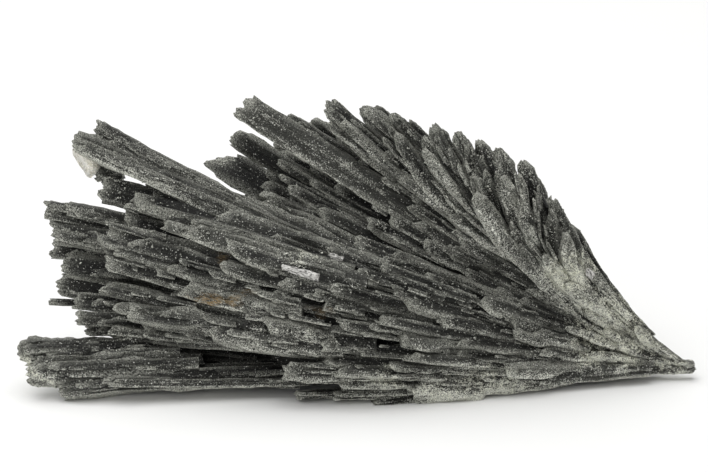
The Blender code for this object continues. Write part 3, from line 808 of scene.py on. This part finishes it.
# ------------------------------------------------------------------------------
# The splinters. Thin shards that broke along the blades' own length and still lie on their faces and edges.
# ------------------------------------------------------------------------------
SPLINTER_SIZE = (4.0, 0.5, 0.3)
SPLINTER_CELLS = (5, 2)
splinter_laths = lath_family(
    "splinter_lath", SPLINTER_SIZE, SPLINTER_CELLS, ridge=0.12, tear=0.4, first_number=41, count=8
)
splinter_line = thatched(
    rng, front_depth, widths=(0.25, 0.65), row_gap=0.045, spacing=5.0, lengths=(1.5, 6.5), lift=(0.0, 0.9),
    bury=0.1,
)
dress(spray("front_splinters", splinter_laths, splinter_line, rng))

# ------------------------------------------------------------------------------
# The crumbs. Grains of broken kyanite and mica that cling to the faces, thickest at the torn tips.
# ------------------------------------------------------------------------------
bpy.ops.object.select_all(action="DESELECT")
bpy.ops.mesh.primitive_ico_sphere_add(subdivisions=1, radius=0.5)
crumb = bpy.context.object
crumb.name = "crumb"
bpy.ops.object.mode_set(mode="EDIT")
bpy.ops.mesh.select_all(action="SELECT")
bpy.ops.transform.resize(value=(1.0, 0.8, 0.6))
bpy.ops.object.mode_set(mode="OBJECT")
work(crumb, "knocks", "NORMAL", 0.5, 0.4, (1, 1, 1), (3, 1, 4), contrast=2.0)
crumb_corners = corners_of(crumb.data)
crumb_faces = np.array([tuple(face.vertices) for face in crumb.data.polygons])
bpy.data.meshes.remove(crumb.data)


def crumbs_on(name, line, count, sizes, rng):
    """Crumbs on the outer sides of the given blades, half of them close behind the torn tips."""
    chosen = rng.integers(0, len(line["reach"]), count)
    few = {key: value[chosen] for key, value in line.items()}
    torn_back = 0.35 * few["width"] + 0.3
    behind = torn_back + np.where(
        rng.random(count) < 0.5, rng.uniform(0.0, 2.0, count), rng.uniform(0.5, 14.0, count)
    )
    share = np.maximum(1 - behind / few["reach"], few["start"])[:, None]
    point, across, outward, taper = blade_frame(few, share)
    facing = np.sign(outward[..., 2]) * np.sign(few["depth"] + 0.01)[:, None]
    point = (
        point
        + across * (rng.uniform(-0.4, 0.4, (count, 1)) * few["width"][:, None] * taper)[..., None]
        + outward * (0.42 * facing * few["thickness"][:, None] * taper)[..., None]
    )
    size = rng.uniform(*sizes, count) ** 2
    first = rng.normal(size=(count, 3))
    second = rng.normal(size=(count, 3))
    first /= np.linalg.norm(first, axis=1, keepdims=True)
    third = np.cross(first, second)
    third /= np.linalg.norm(third, axis=1, keepdims=True)
    axes = np.stack([first, np.cross(third, first), third], 1)
    corners = point + size[:, None, None] * (crumb_corners @ axes)
    corner_count = corners.shape[1]
    uv = rng.uniform(0, 400, (count, 1, 2)) + corners[..., :2] - point[..., :2]
    shade = rng.uniform(0, 1, (count, 1)) ** 1.5 * np.ones((1, corner_count))
    marks = np.stack([shade, shade * 0.8, 0 * shade, 0.2 + 0 * shade], -1)
    return joined_mesh(name, to_world(corners), crumb_faces, uv, marks)


rng = np.random.default_rng(61)
front_line = packed_lines["front_blades"]
dress(crumbs_on("front_crumbs", front_line, count=4200, sizes=(0.38, 0.72), rng=rng))
dress(crumbs_on("outer_crumbs", long_line, count=1500, sizes=(0.40, 0.75), rng=rng))
dress(crumbs_on("back_crumbs", packed_lines["back_blades"], count=1800, sizes=(0.42, 0.78), rng=rng))

# ------------------------------------------------------------------------------
# The crust. A patch of coarser pale crumbs that has grown over the foot of the crest, on the front, and holds
# the ends of its short blades together.
# ------------------------------------------------------------------------------
CRUST_REACH, CRUST_RISE = 29.0, 37.0
CRUST_MM, CRUST_DEGREES = 11.0, 11.0
off_reach = (front_line["reach"] - CRUST_REACH) / CRUST_MM
off_rise = (front_line["rise"] - CRUST_RISE) / CRUST_DEGREES
in_crust = off_reach**2 + off_rise**2 < 1
crust_line = {key: value[in_crust] for key, value in front_line.items()}
dress(crumbs_on("crust_crumbs", crust_line, count=900, sizes=(0.5, 1.05), rng=rng))

# ------------------------------------------------------------------------------
# The root's knob. All the blades end in one blunt lump, where the fan broke off the rock it grew on. It is a
# heap of close crumbs round the root.
# ------------------------------------------------------------------------------
knob = {"reach": 1.6, "rise": 8, "start": -0.1, "width": 2, "thickness": 1}
knob.update(curl=0, depth=0, depth_in=0, roll=0)
knob_line = {key: np.full(1, float(value)) for key, value in knob.items()}
dress(crumbs_on("root_knob", knob_line, count=60, sizes=(1.1, 1.45), rng=rng))

# ------------------------------------------------------------------------------
# The mica flakes. Small silvery cleavage flakes that lie on the front and catch the light.
# ------------------------------------------------------------------------------
# reach mm, rise deg, length mm, width mm, thickness mm, lift mm, roll deg
MICA_FLAKES = (
    (68.4, 14.1, 6.2, 1.15, 0.5, 1.3, -14),
    (23.6, 42.7, 1.6, 1.3, 0.6, 1.0, 0),
    (73.8, 30.2, 1.1, 0.9, 0.5, 1.9, 0),
    (61.5, 17.5, 2.2, 0.9, 0.4, 1.2, -12),
)
flake_table = np.array(MICA_FLAKES, float).T
flake_line = dict(zip(("reach", "rise", "length", "width", "thickness", "lift", "roll"), flake_table))
flake_length = flake_line["length"]
flake_line["curl"] = np.full(len(MICA_FLAKES), 2.5)
flake_line["start"] = 1 - flake_length / flake_line["reach"]
flake_line["depth"] = front_depth(flake_line["rise"], flake_line["reach"]) + flake_line["lift"]
inner_reach = flake_line["reach"] - flake_length
flake_line["depth_in"] = front_depth(flake_line["rise"], inner_reach) + flake_line["lift"]
for key in ("slant", "round", "crimp"):
    flake_line[key] = np.full(len(MICA_FLAKES), 0.2)
mica_flakes = spray("mica_flakes", strand_laths, flake_line, rng)


MICA_SHADE = (0.10, 0.097, 0.088, 1)
MICA_SILVER = (0.62, 0.61, 0.58, 1)


def mica_finish():
    material = bpy.data.materials.new("silver_mica")
    material.use_nodes = True
    tree = material.node_tree
    shader = tree.nodes["Principled BSDF"]
    lay = add_node(tree, "ShaderNodeUVMap", uv_map="lay").outputs["UV"]
    sheets = add_node(tree, "ShaderNodeMapping", {"Vector": lay, "Scale": (1.5, 4.0, 1)})
    cleaved = noise_of(tree, sheets.outputs["Vector"], 1.0, 3.0, 0.6)
    silver = mixed(tree, ramp(tree, cleaved, 0.42, 0.56), MICA_SHADE, MICA_SILVER)
    tree.links.new(silver, shader.inputs["Base Color"])
    tree.links.new(ramp(tree, cleaved, 0.4, 0.6, 0.45, 0.22), shader.inputs["Roughness"])
    shader.inputs["Specular IOR Level"].default_value = 0.8
    bump = add_node(tree, "ShaderNodeBump", {"Height": cleaved, "Distance": 0.2 * MM, "Strength": 1.0})
    tree.links.new(bump.outputs["Normal"], shader.inputs["Normal"])
    return material


dress(mica_flakes, mica_finish())

# ------------------------------------------------------------------------------
# The packed middle. Where the blades are too close to see between, they are one dark mass, which fills the
# fan behind its faces. It is worked from a block, bent to the fan's shape and grooved by its blades.
# ------------------------------------------------------------------------------
MIDDLE_CUTS = 40
MIDDLE_LOW_RISE, MIDDLE_SPREAD, MIDDLE_FLARE = -0.5, 39.0, 8.0
MIDDLE_START, MIDDLE_LENGTH = 0.03, 0.70
UNDER_THE_BLADES = 1.2

bpy.ops.object.select_all(action="DESELECT")
bpy.ops.mesh.primitive_cube_add(size=1)
middle = bpy.context.object
middle.name = "packed_middle"
bpy.ops.object.mode_set(mode="EDIT")
bpy.ops.mesh.select_all(action="SELECT")
bpy.ops.mesh.subdivide(number_cuts=MIDDLE_CUTS)
bpy.ops.object.mode_set(mode="OBJECT")
block = corners_of(middle.data)
block_along, block_side, block_face = block[:, 0] + 0.5, block[:, 2] + 0.5, block[:, 1] * 2
middle_rise = MIDDLE_LOW_RISE + (MIDDLE_SPREAD + MIDDLE_FLARE * block_along) * block_side
middle_reach = rim_reach(middle_rise) * (MIDDLE_START + MIDDLE_LENGTH * block_along)
middle_front = front_depth(middle_rise, middle_reach) - UNDER_THE_BLADES
middle_back = back_depth(middle_rise, middle_reach) + UNDER_THE_BLADES
middle_depth = np.where(block_face < 0, middle_front, -middle_back)
middle_depth *= 1 - 0.45 * np.abs(2 * block_side - 1) ** 3
groove = 0.35 * np.sin(middle_rise * 2.1) + 0.25 * np.sin(middle_rise * 5.3 + 1)
middle_points = np.stack(
    [
        -middle_reach * np.cos(np.radians(middle_rise)),
        middle_reach * np.sin(np.radians(middle_rise)),
        -block_face * (middle_depth + groove * block_along),
    ],
    -1,
)
middle.data.vertices.foreach_set("co", to_world(middle_points).reshape(-1))
middle.data.update()
bpy.ops.object.mode_set(mode="EDIT")
bpy.ops.mesh.select_all(action="SELECT")
bpy.ops.mesh.normals_make_consistent(inside=False)
bpy.ops.object.mode_set(mode="OBJECT")
middle_map = middle.data.uv_layers[0]
middle_map.name = "lay"
loop_corner = np.zeros(len(middle.data.loops), np.int32)
middle.data.loops.foreach_get("vertex_index", loop_corner)
middle_uv = np.stack([middle_reach, middle_rise * 1.1], -1)[loop_corner]
middle_map.data.foreach_set("uv", middle_uv.reshape(-1))
middle_marks = middle.data.attributes.new("marks", "FLOAT_COLOR", "POINT")
# Its fourth mark is below zero, so that the finish paints it darker, as painted shade in the gaps.
middle_marks.data.foreach_set("color", np.tile((0.2, 0.0, 0.0, -0.5), len(block)))
dress(middle)

# ------------------------------------------------------------------------------
# The quartz grain. A small broken piece of milky clear quartz, held under the tip of the lower long twin.
# ------------------------------------------------------------------------------
bpy.ops.object.select_all(action="DESELECT")
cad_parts["quartz_grain"].select_set(True)
bpy.context.view_layer.objects.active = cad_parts["quartz_grain"]
bpy.ops.object.duplicate()
quartz = bpy.context.object
quartz.name = "quartz"
quartz.parent = None
for key in list(quartz.keys()):
    del quartz[key]
bpy.ops.object.mode_set(mode="EDIT")
bpy.ops.mesh.select_all(action="SELECT")
bpy.ops.mesh.remove_doubles(threshold=0.01 * MM)
bpy.ops.mesh.subdivide(number_cuts=3)
bpy.ops.object.mode_set(mode="OBJECT")
work(quartz, "quartz_faces", "NORMAL", 0.35 * MM, 1.1 * MM, (1, 1, 1), (0.003, 0.001, 0.002))
quartz.data.materials.clear()


QUARTZ_HONEY = (0.80, 0.77, 0.66, 1)
QUARTZ_MILK = (0.95, 0.94, 0.90, 1)
QUARTZ_IOR = 1.544


def quartz_finish():
    material = bpy.data.materials.new("clear_quartz")
    material.use_nodes = True
    tree = material.node_tree
    shader = tree.nodes["Principled BSDF"]
    place = add_node(tree, "ShaderNodeTexCoord").outputs["Object"]
    veils = noise_of(tree, place, 900.0, 4.0, 0.6)
    milk = mixed(tree, ramp(tree, veils, 0.4, 0.65), QUARTZ_HONEY, QUARTZ_MILK)
    tree.links.new(milk, shader.inputs["Base Color"])
    tree.links.new(ramp(tree, veils, 0.4, 0.6, 0.12, 0.4), shader.inputs["Roughness"])
    shader.inputs["IOR"].default_value = QUARTZ_IOR
    shader.inputs["Transmission Weight"].default_value = 0.6
    bump = add_node(tree, "ShaderNodeBump", {"Height": veils, "Distance": 0.2 * MM, "Strength": 0.6})
    tree.links.new(bump.outputs["Normal"], shader.inputs["Normal"])
    return material


dress(quartz, quartz_finish(), "quartz_grain")

# ------------------------------------------------------------------------------
# The table, the light and the camera. A plain near-white sheet, one broad soft light above and a pale room.
# ------------------------------------------------------------------------------
TABLE_SIZE, TABLE_BACK = 6.0, 1.0
SHEET_WHITE = (0.80, 0.80, 0.79, 1)
ROOM_STRENGTH = 0.38
bpy.ops.mesh.primitive_plane_add(size=TABLE_SIZE, location=(0, TABLE_BACK, 0))
table = bpy.context.object
table.name = "table"
sheet = bpy.data.materials.new("white_sheet")
sheet.use_nodes = True
sheet_shader = sheet.node_tree.nodes["Principled BSDF"]
sheet_shader.inputs["Base Color"].default_value = SHEET_WHITE
sheet_shader.inputs["Roughness"].default_value = 0.8
sheet_shader.inputs["Specular IOR Level"].default_value = 0.2
table.data.materials.append(sheet)

world = bpy.data.worlds.new("pale_room")
world.use_nodes = True
world.node_tree.nodes["Background"].inputs["Color"].default_value = (1.0, 1.0, 1.0, 1)
world.node_tree.nodes["Background"].inputs["Strength"].default_value = ROOM_STRENGTH
bpy.context.scene.world = world


LIT_POINT = (0, 0, 0.02)


def soft_light(name, place, size, power):
    lamp = bpy.data.lights.new(name, "AREA")
    lamp.shape = "RECTANGLE"
    lamp.size, lamp.size_y = size
    lamp.energy = power
    holder = bpy.data.objects.new(name, lamp)
    holder.location = place
    aim = Vector(LIT_POINT) - Vector(place)
    holder.rotation_euler = aim.to_track_quat("-Z", "Y").to_euler()
    bpy.context.scene.collection.objects.link(holder)


soft_light("softbox_above", place=(-0.2, 0.05, 0.9), size=(1.6, 1.3), power=14.2)
soft_light("fill_in_front", place=(-0.4, -0.9, 0.45), size=(0.6, 0.5), power=1.8)

LENS = 135.0
SENSOR = 36.0
VIEW_WIDTH = 116.1 * MM
AIM_ALONG, AIM_UP = -54.8, 21.5
looking = np.array([0.0, cos(LEAN), -sin(LEAN)])
target = ROOT + MM * (AIM_ALONG * ALONG_THE_TABLE + AIM_UP * UP_THE_FAN)
eye = target - looking * (VIEW_WIDTH * LENS / SENSOR)
camera_data = bpy.data.cameras.new("camera")
camera_data.lens = LENS
camera_data.sensor_width = SENSOR
camera_data.clip_start = 0.01
camera = bpy.data.objects.new("camera", camera_data)
camera.location = eye
camera.rotation_euler = (pi / 2 - LEAN, 0, 0)
bpy.context.scene.collection.objects.link(camera)
bpy.context.scene.camera = camera
bpy.context.scene.view_settings.view_transform = "Standard"
